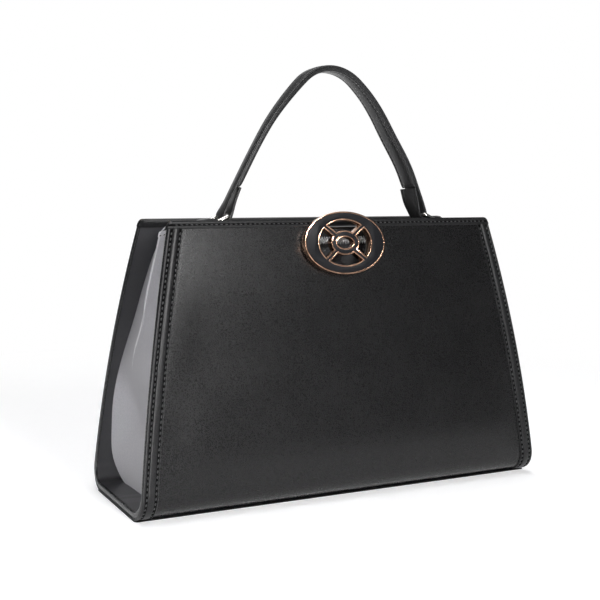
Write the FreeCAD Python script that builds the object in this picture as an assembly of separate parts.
import FreeCAD, Part
import math
import os

# A structured top handle bag. Origin at the middle of its base on the floor.
# X runs along the width, the front faces -Y, Z is up. Lengths in mm, angles in degrees.

# Body
BASE_WIDTH = 312.0
TOP_WIDTH = 252.0
SIDE_BOW = 3.4
BODY_HEIGHT = 194.0
BASE_DEPTH = 110.0
CORNER_RADIUS = 16.0
LEAN_LOW = 4.5
LEAN_TOP = 11.2

# Sole under the base
SOLE = 2.0
SOLE_LAP = 5.0
SOLE_CORNER = 3.0

# Layers of the wall, from the outside in
BINDING = 1.0
SKIN = 1.0
BOARD = 1.4
LINING = 0.8

# Edges of the panels
BINDING_WIDTH = 12.0
TURNED_EDGE = 1.0
HEM = 0.7
HEM_DEPTH = 5.5

# Side gussets: how far in from the panel edges they are sewn, and their fold
GUSSET_THICK = 1.6
GUSSET_IN_BASE = 16.0
GUSSET_IN_LOW = 9.7
GUSSET_IN_MID = 6.8
GUSSET_IN_TOP = 14.6
GUSSET_DROP = 2.5
GUSSET_RIM_DIP = 5.5
GUSSET_LOW_HEIGHT = 46.0
FOLD_END_HEIGHT = 82.0
FOLD_DEPTH_LOW = 2.5
FOLD_DEPTH_END = 2.0
FOLD_DEPTH_MID = 5.0
FOLD_DEPTH_TOP = 8.6

# Zipped pocket between the two compartments
# Its depth and its place are shares of the depth between the top edges.
POCKET_SHARE = 0.258
POCKET_FORWARD = 0.161
POCKET_WALL = 1.6
POCKET_SIDE_GAP = 7.0
ROOF_DROP = 6.0

# Zip in the front wall of the pocket
ZIP_END_GAP = 9.5
ZIP_SLOT = 10.0
TAPE_WIDTH = 7.5
TAPE_THICK = 0.8
TAPE_PART = 0.9
TAPE_TAIL = 1.5
TOOTH_PITCH = 2.0
TOOTH_LENGTH = 2.6
TOOTH_THICK = 1.6
TOOTH_SPINE = 1.0
SLIDER_LENGTH = 9.0
SLIDER_HEIGHT = 8.0
SLIDER_PLATE = 1.3
SLIDER_NOSE = 0.62
SLIDER_PARK = 2.0
WEDGE_START = 1.0
BAIL_WIRE = 1.3
BAIL_REACH = 2.4
PULLER_LENGTH = 22.0
PULLER_WIDTH = 8.0
PULLER_THICK = 1.4

# Handle. Its width is a share of the top depth, and its arch is set out in shares of the top width.
STRAP_SHARE = 0.242
STRAP_PLY = 1.8
CORE_PLY = 1.0
UNDER_PLY = 1.6
CORE_MARGIN = 1.5
CROWN_SHARE = 0.135
CROWN_TURN = 42.0
SHOULDER_SHARE = 0.496
LEG_SLOPE = 62.0
LEG_SHARE = 0.274
STRAP_FOLD = 26.0
FOLD_STEP = 2.5

# Rings and the tabs that hold them
WIRE = 3.2
RING_LIFT = 8.2
RING_REACH = 10.0
RING_BEND_POINTS = 3
TAB_PLY = 1.6
TAB_LENGTH = 15.0

# Oval emblem
EMBLEM_WIDTH = 63.0
EMBLEM_HEIGHT = 44.0
EMBLEM_THICK = 6.0
EMBLEM_DROP = 17.5
BAND_SIDE = 11.0
BAND_TOP = 6.0
MEDAL_WIDTH = 22.0
MEDAL_HEIGHT = 17.0
MEDAL_BAND = 4.4
WEB_WIDTH = 3.4
WEB_ANGLE = 38.0
RIM = 0.9
ENAMEL = 0.8
POST_RADIUS = 1.5
POST_SPAN = 14.0
SCREW_RADIUS = 0.8
SCREW_HEAD = 2.2
SCREW_HEAD_HEIGHT = 1.0
BACK_PLATE = 1.2
BACK_PLATE_WIDTH = 7.0

# Clearances
GAP = 0.05
LOOSE = 0.3
WEDGE_CLEAR = 0.2
NOTCH_LAP = 1.0
TOOL_OVER = 1.0

V = FreeCAD.Vector
WALL = SKIN + BOARD + LINING
LONG = 2.0 * max(BASE_WIDTH, TOP_WIDTH)


def sin(a):
    return math.sin(math.radians(a))


def cos(a):
    return math.cos(math.radians(a))


# Side profile of the body: a flat base, round bottom corners and gently bowed panels.
# An offset is measured inwards from the outer face of the skin.
corner_y = -(BASE_DEPTH / 2 - CORNER_RADIUS)
corner_z = SOLE + BINDING + CORNER_RADIUS
panel_rise = BODY_HEIGHT - corner_z - CORNER_RADIUS * sin(LEAN_LOW)
PANEL_RADIUS = panel_rise / (sin(LEAN_TOP) - sin(LEAN_LOW))
bow_y = corner_y - (CORNER_RADIUS - PANEL_RADIUS) * cos(LEAN_LOW)
bow_z = corner_z + (CORNER_RADIUS - PANEL_RADIUS) * sin(LEAN_LOW)


def on_corner(offset, lean):
    r = CORNER_RADIUS - offset
    return V(0, corner_y - r * cos(lean), corner_z + r * sin(lean))


def on_panel(offset, lean):
    r = PANEL_RADIUS - offset
    return V(0, bow_y - r * cos(lean), bow_z + r * sin(lean))


def lean_at(z, offset=0.0):
    return math.degrees(math.asin((z - bow_z) / (PANEL_RADIUS - offset)))


def lean_for(length):
    return math.degrees(length / PANEL_RADIUS)


def inner_half_depth(z, offset):
    if z >= on_panel(offset, LEAN_LOW).z:
        return -on_panel(offset, lean_at(z, offset)).y
    r = CORNER_RADIUS - offset
    rise = max(-r, min(r, z - corner_z))
    return -corner_y + math.sqrt(r * r - rise * rise)


# The side edges of the panels bow outwards a little between base and top.
taper = (BASE_WIDTH - TOP_WIDTH) / 2
edge_length = math.hypot(taper, BODY_HEIGHT)
SIDE_RADIUS = edge_length ** 2 / (8 * SIDE_BOW) + SIDE_BOW / 2
side_x = (BASE_WIDTH + TOP_WIDTH) / 4 - (SIDE_RADIUS - SIDE_BOW) * BODY_HEIGHT / edge_length
side_z = BODY_HEIGHT / 2 - (SIDE_RADIUS - SIDE_BOW) * taper / edge_length


def half_width(z):
    return side_x + math.sqrt(SIDE_RADIUS ** 2 - (z - side_z) ** 2)


top_depth = -2 * on_panel(0, LEAN_TOP).y
POCKET_DEPTH = POCKET_SHARE * top_depth
POCKET_Y = -POCKET_FORWARD * top_depth
STRAP_WIDTH = STRAP_SHARE * top_depth
CROWN_RADIUS = CROWN_SHARE * TOP_WIDTH
SHOULDER_RADIUS = SHOULDER_SHARE * TOP_WIDTH
LEG_LENGTH = LEG_SHARE * TOP_WIDTH


def flip_y(p):
    return V(p.x, -p.y, p.z)


def arc(a, b, c):
    return Part.Arc(a, b, c).toShape()


def line(a, b):
    return Part.LineSegment(a, b).toShape()


def face_of(edges):
    return Part.Face(Part.Wire(Part.__sortEdges__(edges)))


def polygon(points):
    return Part.Face(Part.makePolygon(list(points) + [points[0]]))


def along_x(face):
    face.translate(V(-LONG / 2, 0, 0))
    return face.extrude(V(LONG, 0, 0))


def mirror_x(shape):
    return shape.mirror(V(0, 0, 0), V(1, 0, 0))


def mirror_y(shape):
    return shape.mirror(V(0, 0, 0), V(0, 1, 0))


def profile(offset, top):
    p = [on_panel(offset, top), on_panel(offset, (top + LEAN_LOW) / 2), on_panel(offset, LEAN_LOW)]
    c = [on_corner(offset, (LEAN_LOW - 90) / 2), on_corner(offset, -90)]
    front = [arc(p[0], p[1], p[2]), arc(p[2], c[0], c[1])]
    q = [flip_y(x) for x in p]
    d = [flip_y(x) for x in c]
    return front + [line(c[1], d[1]), arc(d[1], d[0], q[2]), arc(q[2], q[1], q[0])], p[0], q[0]


def wrap(outer, inner, top):
    a, a_front, a_back = profile(outer, top)
    b, b_front, b_back = profile(inner, top)
    return along_x(face_of(a + b + [line(a_front, b_front), line(a_back, b_back)]))


def panel_sheet(outer, inner, low, top):
    mid = (low + top) / 2
    a = [on_panel(outer, low), on_panel(outer, mid), on_panel(outer, top)]
    b = [on_panel(inner, low), on_panel(inner, mid), on_panel(inner, top)]
    return along_x(face_of([arc(*a), line(a[2], b[2]), arc(*b), line(b[0], a[0])]))


def sides(inset):
    low, high = -LONG / 8, BODY_HEIGHT + LONG / 8
    right = [V(half_width(z) - inset, -LONG / 2, z) for z in (low, (low + high) / 2, high)]
    left = [V(-p.x, p.y, p.z) for p in right]
    face = face_of([arc(*right), line(right[2], left[2]), arc(*left), line(left[0], right[0])])
    return face.extrude(V(0, LONG, 0))


def box(x0, x1, y0, y1, z0, z1):
    return Part.makeBox(x1 - x0, y1 - y0, z1 - z0, V(x0, y0, z0))


def bent_wire(points, diameter, closed):
    path = Part.makePolygon(points + points[:1] if closed else points)
    section = Part.Wire(Part.Circle(points[0], points[1] - points[0], diameter / 2).toShape())
    return path.makePipeShell([section], True, False, 1)


def bend_points(centre, radius, start, end, count):
    return [centre + V(radius * cos(a), radius * sin(a), 0)
            for a in [start + (end - start) * i / (count - 1) for i in range(count)]]


nodes = {}
above = LEAN_TOP + lean_for(HEM + WALL)

# Wall layers. The skin wraps over the side edges of what it covers.
core_sides = sides(TURNED_EDGE)
skin = wrap(0, WALL, LEAN_TOP).common(sides(0)).cut(wrap(SKIN, WALL + SKIN, above).common(core_sides))
board = panel_sheet(SKIN, SKIN + BOARD, LEAN_LOW, LEAN_TOP).common(core_sides)
base_z = SOLE + BINDING + SKIN
base_board = box(-LONG / 2, LONG / 2, corner_y, -corner_y, base_z, base_z + BOARD).common(core_sides)
lining = wrap(SKIN + BOARD, WALL, LEAN_TOP).common(core_sides)

# Hems cap the top edges from side to side.
hem_top = LEAN_TOP + lean_for(HEM)
hem_low = LEAN_TOP - lean_for(HEM_DEPTH)
hem = panel_sheet(-HEM, WALL + HEM, hem_low, hem_top)
hem = hem.cut(panel_sheet(0, WALL, LEAN_LOW, LEAN_TOP)).common(sides(0))

# Bindings run from the front hem down the front, under the base and up to the back hem.
binding = wrap(-BINDING, 0, hem_low - lean_for(GAP)).common(sides(0)).cut(sides(BINDING_WIDTH))
binding_right = binding.common(box(0, LONG, -LONG, LONG, -LONG, LONG))

# The sole is a covered plate under the base. Its middle fills the space between the bindings.
sole_x, sole_y = half_width(0), -corner_y + SOLE_LAP
sole = box(-sole_x, sole_x, -sole_y, sole_y, 0, SOLE)
sole = sole.makeFillet(SOLE_CORNER, [e for e in sole.Edges if e.BoundBox.ZLength > SOLE / 2])
fill_x = half_width(SOLE) - BINDING_WIDTH - GAP
nodes["base_sole"] = sole.fuse(box(-fill_x, fill_x, corner_y, -corner_y, SOLE / 2, SOLE + BINDING)).removeSplitter()

# Emblem, drawn on its own plane: x across, y up the panel, z out of it
emblem_z = BODY_HEIGHT - EMBLEM_DROP
emblem_lean = lean_at(emblem_z)
seat = HEM + GAP
to_panel = FreeCAD.Placement(FreeCAD.Matrix(
    1, 0, 0, 0,
    0, sin(emblem_lean), -cos(emblem_lean), on_panel(0, emblem_lean).y,
    0, cos(emblem_lean), sin(emblem_lean), on_panel(0, emblem_lean).z,
    0, 0, 0, 1))


def on_emblem(shape):
    shape.Placement = to_panel.multiply(shape.Placement)
    return shape


def oval(half_x, half_y, z0, z1):
    if half_x >= half_y:
        curve = Part.Ellipse(V(half_x, 0, z0), V(0, half_y, z0), V(0, 0, z0))
    else:
        curve = Part.Ellipse(V(0, half_y, z0), V(-half_x, 0, z0), V(0, 0, z0))
    return Part.Face(Part.Wire(curve.toShape())).extrude(V(0, 0, z1 - z0))


out_x, out_y = EMBLEM_WIDTH / 2, EMBLEM_HEIGHT / 2
open_x, open_y = out_x - BAND_SIDE, out_y - BAND_TOP
medal_x, medal_y = MEDAL_WIDTH / 2, MEDAL_HEIGHT / 2


def openwork(trim, z0, z1):
    low, high = z0 - TOOL_OVER, z1 + TOOL_OVER
    band = oval(out_x - trim, out_y - trim, z0, z1)
    band = band.cut(oval(open_x + trim, open_y + trim, low, high))
    hole = oval(medal_x - MEDAL_BAND + trim, medal_y - MEDAL_BAND + trim, low, high)
    webs = None
    for angle in (WEB_ANGLE, 180 - WEB_ANGLE):
        bar = Part.makeBox(2 * out_x, WEB_WIDTH - 2 * trim, z1 - z0, V(-out_x, -WEB_WIDTH / 2 + trim, z0))
        bar.rotate(V(0, 0, 0), V(0, 0, 1), angle)
        webs = bar if webs is None else webs.fuse(bar)
    webs = webs.common(oval(open_x + 2 * RIM, open_y + 2 * RIM, z0, z1))
    medal = oval(medal_x - trim, medal_y - trim, z0, z1)
    return band.fuse([webs, medal]).cut(hole).removeSplitter()


front_z = seat + EMBLEM_THICK
frame = openwork(0, seat, front_z).cut(openwork(RIM, front_z - ENAMEL, front_z + TOOL_OVER))
enamel = openwork(RIM + GAP, front_z - ENAMEL + GAP, front_z - GAP)
post_x = out_x - BAND_SIDE / 2
plate_low = -(WALL + LOOSE + BACK_PLATE)
posts, holes, screws, plates, bores = [], [], [], [], []
for side in (-1, 1):
    plate = Part.makeBox(BACK_PLATE_WIDTH, POST_SPAN, BACK_PLATE,
                         V(side * post_x - BACK_PLATE_WIDTH / 2, -POST_SPAN / 2, plate_low))
    for end in (-1, 1):
        at = V(side * post_x, end * POST_SPAN / 2, 0)
        rounded = Part.makeCylinder(BACK_PLATE_WIDTH / 2, BACK_PLATE, at + V(0, 0, plate_low))
        plate = plate.fuse(rounded)
        tip = -(WALL + LOOSE - GAP)
        posts.append(Part.makeCylinder(POST_RADIUS, seat - tip + GAP, at + V(0, 0, tip)))
        hole_low = at + V(0, 0, -WALL - 2 * LOOSE)
        holes.append(Part.makeCylinder(POST_RADIUS + GAP, WALL + 4 * LOOSE, hole_low))
        bore_low = at + V(0, 0, plate_low - GAP)
        bores.append(Part.makeCylinder(SCREW_RADIUS + GAP, BACK_PLATE + 2 * GAP, bore_low))
        head_low = at + V(0, 0, plate_low - SCREW_HEAD_HEIGHT)
        shank = Part.makeCylinder(SCREW_RADIUS, BACK_PLATE, at + V(0, 0, plate_low))
        screws.append(Part.makeCylinder(SCREW_HEAD, SCREW_HEAD_HEIGHT, head_low).fuse(shank))
    plates.append(plate.removeSplitter().cut(bores[-2:]))
frame = frame.fuse(posts).removeSplitter()
nodes["emblem_frame"] = on_emblem(frame)
nodes["emblem_enamel"] = on_emblem(enamel)
nodes["emblem_back_plates"] = on_emblem(Part.makeCompound(plates))
nodes["emblem_screws"] = on_emblem(Part.makeCompound(screws))

# The front panel is notched behind the openwork, out through its top edge.
deep = 4 * (WALL + HEM)
notch = oval(open_x + NOTCH_LAP, open_y + NOTCH_LAP, -deep, deep)
notch = notch.fuse(box(-open_x - NOTCH_LAP, open_x + NOTCH_LAP, 0, 2 * EMBLEM_HEIGHT, -deep, deep))
notch = on_emblem(notch)
holes = [on_emblem(h) for h in holes]
nodes["outer_skin"] = skin.cut([notch] + holes)
nodes["front_board"] = board.cut([notch] + holes)
nodes["back_board"] = mirror_y(board)
nodes["base_board"] = base_board
nodes["inner_lining"] = lining.cut([notch] + holes)
nodes["binding_right"] = binding_right
nodes["binding_left"] = mirror_x(binding_right)
front_hem = hem.cut(notch)
nodes["front_hem"] = front_hem
nodes["back_hem"] = mirror_y(hem)

# Gussets: a sheet that is pleated outwards at its top and eases into a soft curve lower down.
# Each level gives the height, the inset from the panel edge, the depth of the fold and how round it is.
gusset_top = BODY_HEIGHT - GUSSET_DROP
under_hem = on_panel(WALL + HEM, hem_low).z - LOOSE
floor_z = SOLE + BINDING + WALL
mid_height = (FOLD_END_HEIGHT + gusset_top) / 2
levels = [
    (floor_z, GUSSET_IN_BASE, 0.0, 1.0),
    (GUSSET_LOW_HEIGHT, GUSSET_IN_LOW, FOLD_DEPTH_LOW, 1.0),
    (FOLD_END_HEIGHT, GUSSET_IN_MID, FOLD_DEPTH_END, 0.8),
    (mid_height, (GUSSET_IN_MID + GUSSET_IN_TOP) / 2, FOLD_DEPTH_MID, 0.1),
    (gusset_top, GUSSET_IN_TOP, FOLD_DEPTH_TOP, 0.0),
]


def at_level(z):
    for low, high in zip(levels, levels[1:]):
        if z <= high[0]:
            t = (z - low[0]) / (high[0] - low[0])
            return [u + (v - u) * t for u, v in zip(low[1:], high[1:])]
    return levels[-1][1:]


def gusset_ring(z):
    inset, fold, round_ = at_level(z)
    d = inner_half_depth(z, WALL + GAP + (HEM if z > under_hem else 0.0))
    x0 = half_width(z) - inset
    outer, inner = [], []
    for i in range(-4, 5):
        t = abs(i) / 4
        x = x0 + fold * ((1 - round_) * (1 - t) + round_ * (1 - t * t))
        outer.append(V(x, d * i / 4, z))
        inner.append(V(x - GUSSET_THICK, d * i / 4, z))
    return Part.makePolygon(outer + inner[::-1] + [outer[0]])


heights = [floor_z + GAP] + [on_corner(WALL + GAP, lean).z for lean in (-70, -45, -20)]
heights += [on_panel(WALL + GAP, LEAN_LOW).z]
steps = 7
heights += [heights[-1] + (under_hem - heights[-1]) * (i + 1) / steps for i in range(steps)]
heights += [under_hem + LOOSE / 2, gusset_top]
heights += [lv[0] for lv in levels[1:-1]]
gusset = Part.makeLoft([gusset_ring(z) for z in sorted(set(heights))], True, True)
rim_y = inner_half_depth(gusset_top, 0)
rim = [(-rim_y, gusset_top + TOOL_OVER), (-rim_y, gusset_top), (0, gusset_top - GUSSET_RIM_DIP),
       (rim_y, gusset_top), (rim_y, gusset_top + TOOL_OVER)]
gusset = gusset.cut(along_x(polygon([V(0, y, z) for y, z in rim])))
nodes["gusset_right"] = gusset
nodes["gusset_left"] = mirror_x(gusset)

# Zipped pocket: two walls, a band round the ends and bottom, and a roof that carries the handle.
roof_top = BODY_HEIGHT - ROOF_DROP
front_y = POCKET_Y - POCKET_DEPTH / 2
back_y = POCKET_Y + POCKET_DEPTH / 2
wall_top = roof_top - POCKET_WALL
pocket_low = floor_z + GAP
pocket_in = max(GUSSET_IN_TOP, GUSSET_IN_BASE) + GUSSET_THICK + POCKET_SIDE_GAP
zip_z = wall_top - GAP - TAPE_WIDTH - TAPE_PART / 2
zip_length = 2 * (half_width(zip_z) - pocket_in - POCKET_WALL - ZIP_END_GAP)


def pocket_outline(y0, y1, z0, z1, inset):
    a, b = half_width(z0) - inset, half_width(z1) - inset
    face = polygon([V(-a, y0, z0), V(a, y0, z0), V(b, y0, z1), V(-b, y0, z1)])
    return face.extrude(V(0, y1 - y0, 0))


def slot(length, height, y0, y1):
    r = height / 2
    body = box(-length / 2 + r, length / 2 - r, y0, y1, zip_z - r, zip_z + r)
    ends = [Part.makeCylinder(r, y1 - y0, V(s * (length / 2 - r), y0, zip_z), V(0, 1, 0)) for s in (-1, 1)]
    return body.fuse(ends)


front_wall = pocket_outline(front_y, front_y + POCKET_WALL, pocket_low, wall_top, pocket_in)
zip_slot = slot(zip_length + ZIP_SLOT, ZIP_SLOT, front_y - TOOL_OVER, front_y + POCKET_WALL + TOOL_OVER)
nodes["pocket_front_wall"] = front_wall.cut(zip_slot)
nodes["pocket_back_wall"] = pocket_outline(back_y - POCKET_WALL, back_y, pocket_low, wall_top, pocket_in)
inner_y = (front_y + POCKET_WALL, back_y - POCKET_WALL)
band = pocket_outline(inner_y[0], inner_y[1], pocket_low, wall_top, pocket_in)
band = band.cut(pocket_outline(inner_y[0] - TOOL_OVER, inner_y[1] + TOOL_OVER, pocket_low + POCKET_WALL,
                               wall_top + TOOL_OVER, pocket_in + POCKET_WALL))
nodes["pocket_band"] = band
roof_half = half_width(roof_top) - pocket_in
nodes["pocket_roof"] = box(-roof_half, roof_half, front_y, back_y, wall_top, roof_top)

# Zip: tapes behind the slot, two meshing rows of teeth, end stops
tape_y = front_y + POCKET_WALL
tape_half = (zip_length + ZIP_SLOT) / 2 + TAPE_TAIL
tape_edges = (TAPE_PART / 2, TAPE_PART / 2 + TAPE_WIDTH)
nodes["zip_tape_upper"] = box(-tape_half, tape_half, tape_y, tape_y + TAPE_THICK,
                              zip_z + tape_edges[0], zip_z + tape_edges[1])
nodes["zip_tape_lower"] = box(-tape_half, tape_half, tape_y, tape_y + TAPE_THICK,
                              zip_z - tape_edges[1], zip_z - tape_edges[0])
slider_x = zip_length / 2 - SLIDER_LENGTH / 2 - SLIDER_PARK
chain_end = slider_x - WEDGE_START
tooth_half = TOOTH_PITCH / 2 - LOOSE - 2 * GAP


def teeth_row(side, shift):
    start = -zip_length / 2 + shift
    count = int((chain_end - start) / TOOTH_PITCH) + 1
    root = side * TOOTH_LENGTH / 2
    tip = -side * (TOOTH_LENGTH / 2 - LOOSE)
    back = side * (TOOTH_LENGTH / 2 + TOOTH_SPINE)
    pts = [(start - tooth_half, back), (start - tooth_half, root)]
    for i in range(count):
        x = start + i * TOOTH_PITCH
        pts += [(x - tooth_half, root), (x - tooth_half / 2, tip)]
        pts += [(x + tooth_half / 2, tip), (x + tooth_half, root)]
    pts.append((start + (count - 1) * TOOTH_PITCH + tooth_half, back))
    pts = [p for i, p in enumerate(pts) if i == 0 or p != pts[i - 1]]
    face = polygon([V(x, tape_y - TOOTH_THICK, zip_z + z) for x, z in pts])
    return face.extrude(V(0, TOOTH_THICK - GAP, 0))


nodes["zip_teeth_upper"] = teeth_row(1, TOOTH_PITCH / 2)
nodes["zip_teeth_lower"] = teeth_row(-1, 0.0)
stop_y = tape_y - TOOTH_THICK
stop_x = zip_length / 2 + LOOSE
stop_h = TOOTH_LENGTH / 2 + TOOTH_SPINE
stops = [box(-stop_x - 2 * TOOTH_PITCH, -stop_x - tooth_half, stop_y, tape_y - GAP,
             zip_z - stop_h, zip_z + stop_h)]
for s in (-1, 1):
    stop_z = zip_z + s * stop_h / 2
    stops.append(box(stop_x, stop_x + TOOTH_PITCH, stop_y, tape_y - GAP,
                     stop_z - TOOTH_SPINE, stop_z + TOOTH_SPINE))
nodes["zip_end_stops"] = Part.makeCompound(stops)

# Slider: front and back plates joined by a wedge between the tapes, with a bail for the puller
plate_front = stop_y - LOOSE
plate_back = tape_y + TAPE_THICK + LOOSE


def slider_plate(y):
    r = SLIDER_HEIGHT / 2
    x0, x1 = slider_x - SLIDER_LENGTH / 2, slider_x + SLIDER_LENGTH / 2
    nose = r * SLIDER_NOSE
    pts = [(x0, -nose), (x0, nose), (slider_x, r), (x1, r), (x1, -r), (slider_x, -r)]
    return polygon([V(x, y, zip_z + z) for x, z in pts]).extrude(V(0, SLIDER_PLATE, 0))


wedge_half = TAPE_PART / 2 - WEDGE_CLEAR
wedge_x = slider_x + WEDGE_START
slider = slider_plate(plate_front - SLIDER_PLATE).fuse(slider_plate(plate_back))
slider = slider.fuse(box(wedge_x, slider_x + SLIDER_LENGTH / 2 - WEDGE_START, plate_front - SLIDER_PLATE / 2,
                         plate_back + SLIDER_PLATE / 2, zip_z - wedge_half, zip_z + wedge_half))
bail_y = plate_front - SLIDER_PLATE - BAIL_REACH
bail_half = SLIDER_LENGTH / 2 - BAIL_WIRE
bail_root = plate_front - SLIDER_PLATE / 2
bail = []
for end in (-1, 1):
    side = [V(end * bail_half, bail_root, 0), V(end * bail_half, bail_y + BAIL_WIRE, 0),
            V(end * (bail_half - BAIL_WIRE), bail_y, 0)]
    bail += side if end < 0 else side[::-1]
bail = [p + V(slider_x, 0, zip_z) for p in bail]
slider = slider.fuse(bent_wire(bail, BAIL_WIRE, False))
nodes["zip_slider"] = slider.removeSplitter()

# Puller hangs from the bail: a tapered tongue with an eye
eye_r = BAIL_WIRE / 2 + LOOSE / 3
eye_out = eye_r + PULLER_THICK
neck = 2 * (bail_half - BAIL_WIRE) - LOOSE
knuckle = Part.makeCylinder(eye_out, neck, V(slider_x - neck / 2, bail_y, zip_z), V(1, 0, 0))
half_tongue = [(neck / 2, 0), (neck / 2, -2 * eye_out),
               (PULLER_WIDTH / 2, -PULLER_LENGTH + PULLER_WIDTH / 2), (PULLER_WIDTH / 4, -PULLER_LENGTH)]
outline = half_tongue + [(-x, z) for x, z in half_tongue[::-1]]
tongue = polygon([V(slider_x + x, bail_y - PULLER_THICK / 2, zip_z + z) for x, z in outline])
tongue = tongue.extrude(V(0, PULLER_THICK, 0))
eye = Part.makeCylinder(eye_r, 2 * neck, V(slider_x - neck, bail_y, zip_z), V(1, 0, 0))
puller = knuckle.fuse(tongue).cut(eye)
nodes["zip_puller"] = puller.removeSplitter()

# Handle, in the XZ plane. Its outline is set out from the crown down to the ring bar.
loop_r = WIRE / 2 + LOOSE
crown_x = CROWN_RADIUS * sin(CROWN_TURN)
crown_dz = -CROWN_RADIUS * (1 - cos(CROWN_TURN))
shoulder_x = crown_x + SHOULDER_RADIUS * (sin(LEG_SLOPE) - sin(CROWN_TURN))
shoulder_dz = crown_dz - SHOULDER_RADIUS * (cos(CROWN_TURN) - cos(LEG_SLOPE))
foot_x = shoulder_x + LEG_LENGTH * cos(LEG_SLOPE)
foot_dz = shoulder_dz - LEG_LENGTH * sin(LEG_SLOPE)
ring_x = foot_x - (STRAP_PLY + loop_r) * sin(LEG_SLOPE)
ring_z = roof_top + RING_LIFT
apex_z = ring_z - (foot_dz - (STRAP_PLY + loop_r) * cos(LEG_SLOPE))
strap_y = POCKET_Y - STRAP_WIDTH / 2


def leg_point(s, n):
    return V(ring_x - s * cos(LEG_SLOPE) + n * sin(LEG_SLOPE), strap_y,
             ring_z + s * sin(LEG_SLOPE) + n * cos(LEG_SLOPE))


def hairpin(at, r, ply, long_side, short_side):
    reach = math.hypot(short_side, r - GAP)
    turn = math.degrees(math.atan2(r - GAP, short_side) - math.acos(r / reach))
    mid = (90 + 360 + turn) / 2

    def ring(radius, a):
        return at(radius * cos(a), radius * sin(a))

    end_in = at(short_side, r - GAP)
    end_out = at(short_side + ply * cos(turn), r - GAP + ply * sin(turn))
    return face_of([
        line(at(long_side, r), at(0, r)), arc(at(0, r), ring(r, mid), ring(r, turn)),
        line(ring(r, turn), end_in), line(end_in, end_out), line(end_out, ring(r + ply, turn)),
        arc(ring(r + ply, turn), ring(r + ply, mid), at(0, r + ply)),
        line(at(0, r + ply), at(long_side, r + ply)), line(at(long_side, r + ply), at(long_side, r))])


def arch(outer, inner, start):
    def side(offset, sign):
        rc, rs = CROWN_RADIUS - offset, SHOULDER_RADIUS - offset
        cz = apex_z - CROWN_RADIUS
        sx = crown_x - SHOULDER_RADIUS * sin(CROWN_TURN)
        sz = apex_z + crown_dz - SHOULDER_RADIUS * cos(CROWN_TURN)
        mid = (CROWN_TURN + LEG_SLOPE) / 2
        pts = [V(0, strap_y, cz + rc)]
        pts += [V(sign * rc * sin(a), strap_y, cz + rc * cos(a)) for a in (CROWN_TURN / 2, CROWN_TURN)]
        pts += [V(sign * (sx + rs * sin(a)), strap_y, sz + rs * cos(a)) for a in (mid, LEG_SLOPE)]
        foot = leg_point(start, loop_r + STRAP_PLY - offset)
        pts.append(V(sign * foot.x, foot.y, foot.z))
        return [arc(*pts[0:3]), arc(*pts[2:5]), line(pts[4], pts[5])], pts[5]

    edges, ends = [], []
    for offset in (outer, inner):
        for sign in (-1, 1):
            part, end = side(offset, sign)
            edges += part
            ends.append(end)
    edges += [line(ends[0], ends[2]), line(ends[1], ends[3])]
    return face_of(edges)


split = STRAP_FOLD + FOLD_STEP
nodes["strap_outer"] = arch(0, STRAP_PLY, split).extrude(V(0, STRAP_WIDTH, 0))
under_start = split + FOLD_STEP
core = arch(STRAP_PLY, STRAP_PLY + CORE_PLY, under_start)
core.translate(V(0, CORE_MARGIN, 0))
nodes["strap_core"] = core.extrude(V(0, STRAP_WIDTH - 2 * CORE_MARGIN, 0))
under = arch(STRAP_PLY + CORE_PLY, STRAP_PLY + CORE_PLY + UNDER_PLY, under_start)
nodes["strap_underside"] = under.extrude(V(0, STRAP_WIDTH, 0))
strap_end = hairpin(leg_point, loop_r, STRAP_PLY, split, STRAP_FOLD).extrude(V(0, STRAP_WIDTH, 0))
nodes["strap_end_right"] = strap_end
nodes["strap_end_left"] = mirror_x(strap_end)

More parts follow.
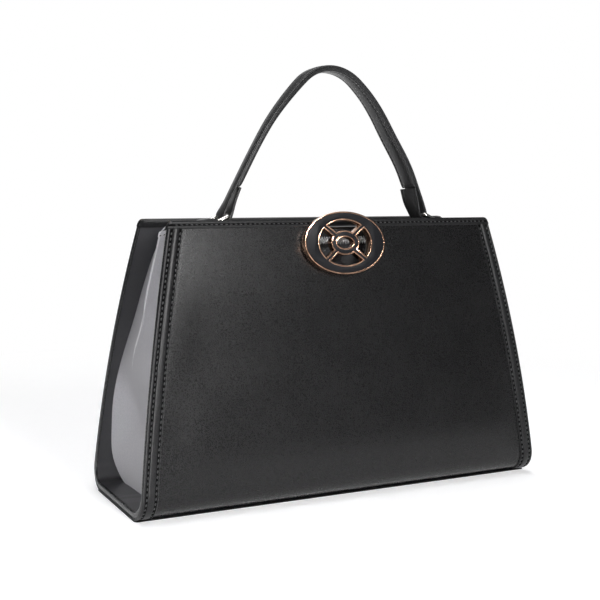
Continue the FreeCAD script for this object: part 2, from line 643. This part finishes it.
# Rings: rounded rectangles of wire from the strap's fold to the tab's loop
tab_loop = WIRE / 2 + LOOSE
tab_x = ring_x + RING_REACH
tab_z = roof_top + TAB_PLY + tab_loop + GAP
tilt = math.degrees(math.atan2(tab_z - ring_z, tab_x - ring_x))
ring_long = math.hypot(tab_x - ring_x, tab_z - ring_z)
ring_corner = WIRE / 2 + LOOSE
ring_half = STRAP_WIDTH / 2 + GAP + ring_corner


def wire_ring():
    h, w, r = ring_long, ring_half, ring_corner
    points = [V(h / 2, -w, 0)]
    corners = [V(h - r, r - w, 0), V(h - r, w - r, 0), V(r, w - r, 0), V(r, r - w, 0)]
    for i, centre in enumerate(corners):
        points += bend_points(centre, r, 90 * i - 90, 90 * i, RING_BEND_POINTS)
    ring = bent_wire(points, WIRE, True)
    ring.rotate(V(0, 0, 0), V(0, 1, 0), -tilt)
    ring.translate(V(ring_x, POCKET_Y, ring_z))
    return ring


ring_right = wire_ring()
nodes["ring_right"] = ring_right
nodes["ring_left"] = mirror_x(ring_right)


def tab_point(s, n):
    return V(tab_x + s, strap_y, tab_z - n)


tab = hairpin(tab_point, tab_loop, TAB_PLY, TAB_LENGTH, TAB_LENGTH).extrude(V(0, STRAP_WIDTH, 0))
nodes["ring_tab_right"] = tab
nodes["ring_tab_left"] = mirror_x(tab)

os.makedirs("parts", exist_ok=True)
for name, shape in nodes.items():
    shape.exportStep("parts/" + name + ".step")
    solids = len(shape.Solids)
    print(f"{name:20s} valid {shape.isValid()} solids {solids} volume {shape.Volume:10.1f} mm3 "
          f"x {shape.BoundBox.XMin:7.1f} {shape.BoundBox.XMax:7.1f} y {shape.BoundBox.YMin:6.1f} "
          f"{shape.BoundBox.YMax:6.1f} z {shape.BoundBox.ZMin:6.1f} {shape.BoundBox.ZMax:6.1f}")
print(f"handle axis y {POCKET_Y:.2f} z {ring_z:.2f}, ring x {ring_x:.2f}, apex {apex_z:.2f}")
print(f"puller axis y {bail_y:.2f} z {zip_z:.2f}, slider x {slider_x:.3f}, zip length {zip_length:.2f}")
print(f"strap width {STRAP_WIDTH:.2f}, pocket depth {POCKET_DEPTH:.2f}, panel radius {PANEL_RADIUS:.1f}")
